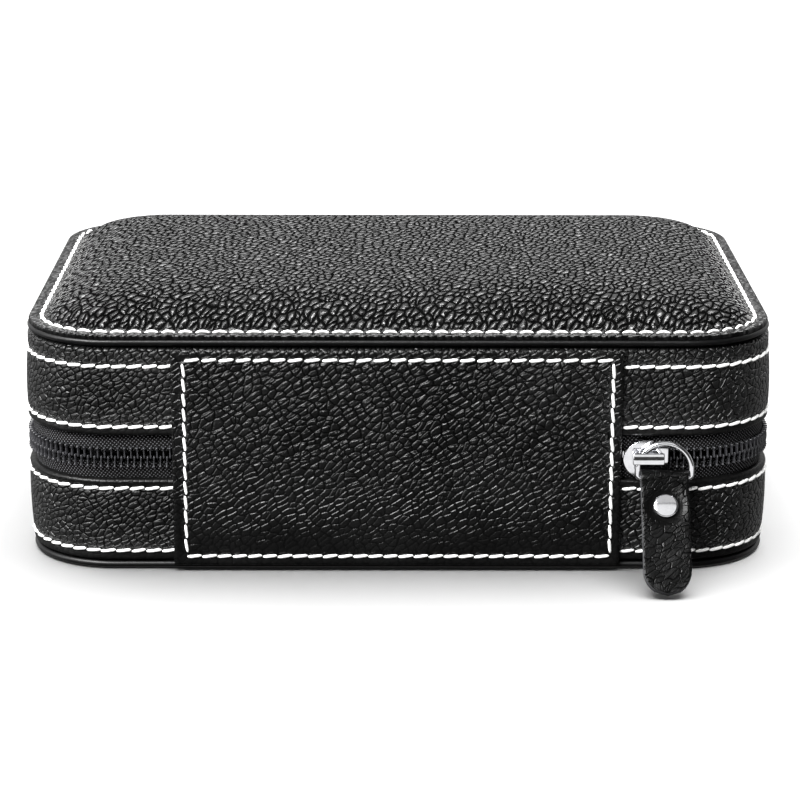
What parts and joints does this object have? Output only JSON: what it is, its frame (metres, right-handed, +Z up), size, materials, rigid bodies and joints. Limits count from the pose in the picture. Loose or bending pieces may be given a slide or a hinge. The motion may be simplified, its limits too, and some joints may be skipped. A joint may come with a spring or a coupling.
{
  "type": "zip-round watch storage case",
  "caption": "Zip-round padded leather watch case with a hinged lid on a leather spine, white stitching, a zip with a leather pull, and a lined tray of watch pillows.",
  "frame": {"origin": "centre of the underside", "axes": "+X along the long side, right as seen from the hinge side; +Y from the hinge side to the opening side; +Z up"},
  "size_m": [0.201, 0.1643, 0.0721],
  "materials": {
    "black_leather": "pebbled semi-gloss black leather",
    "white_thread": "white waxed sewing thread",
    "zip_tape": "black woven zip tape",
    "zip_coil": "black nylon coil",
    "chrome": "bright chrome plate",
    "board": "bookboard dyed black",
    "foam": "grey padding foam",
    "velvet": "soft grey velvet"
  },
  "bodies": {
    "base": {"base_bottom_leather": "black_leather", "base_edge_piping": "black_leather", "base_band_leather": "black_leather", "base_floor_board": "board", "base_wall_board": "board", "base_liner_wall": "velvet", "base_liner_floor": "velvet", "long_divider": "velvet", "cross_divider": "velvet", "watch_pillow_front_left": "velvet", "watch_pillow_front_right": "velvet", "watch_pillow_back_left": "velvet", "watch_pillow_back_right": "velvet", "zip_tape_lower": "zip_tape", "zip_teeth_lower": "zip_coil", "zip_stop_left": "chrome", "zip_stop_right": "chrome", "hinge_spine_panel": "black_leather", "hinge_lining_strip": "velvet", "base_band_stitching": "white_thread", "spine_stitching": "white_thread"},
    "lid": {"lid_band_leather": "black_leather", "lid_wall_board": "board", "lid_top_board": "board", "lid_foam_pad": "foam", "lid_top_leather": "black_leather", "lid_edge_piping": "black_leather", "lid_liner_wall": "velvet", "lid_inner_pad": "velvet", "zip_tape_upper": "zip_tape", "zip_teeth_upper": "zip_coil", "lid_top_stitching": "white_thread", "lid_band_stitching": "white_thread"},
    "slider": {"slider_body": "chrome", "slider_crown": "chrome"},
    "ring": {"pull_ring": "chrome"},
    "tab": {"pull_tab": "black_leather", "rivet_cap": "chrome", "rivet_post": "chrome"}
  },
  "joints": [
    {"name": "lid_hinge", "type": "hinge", "parent": "base", "child": "lid", "pos_m": [0, -0.073, 0.0313], "axis": [1, 0, 0], "range_deg": [0, 105], "deforming": ["hinge_spine_panel", "spine_stitching", "hinge_lining_strip", "zip_tape_upper", "zip_teeth_upper"]},
    {"name": "zip_slide", "type": "slide", "parent": "base", "child": "slider", "axis": [1, 0, 0], "range_m": [0, 0.0075], "deforming": ["zip_teeth_lower", "zip_teeth_upper"]},
    {"name": "ring_swing", "type": "hinge", "parent": "slider", "child": "ring", "pos_m": [0.0701, -0.07397, 0.0313], "axis": [-1, 0, 0], "range_deg": [-5, 12]},
    {"name": "tab_swing", "type": "hinge", "parent": "ring", "child": "tab", "pos_m": [0.0701, -0.07433, 0.02722], "axis": [-1, 0, 0], "range_deg": [-28, 22]}
  ]
}
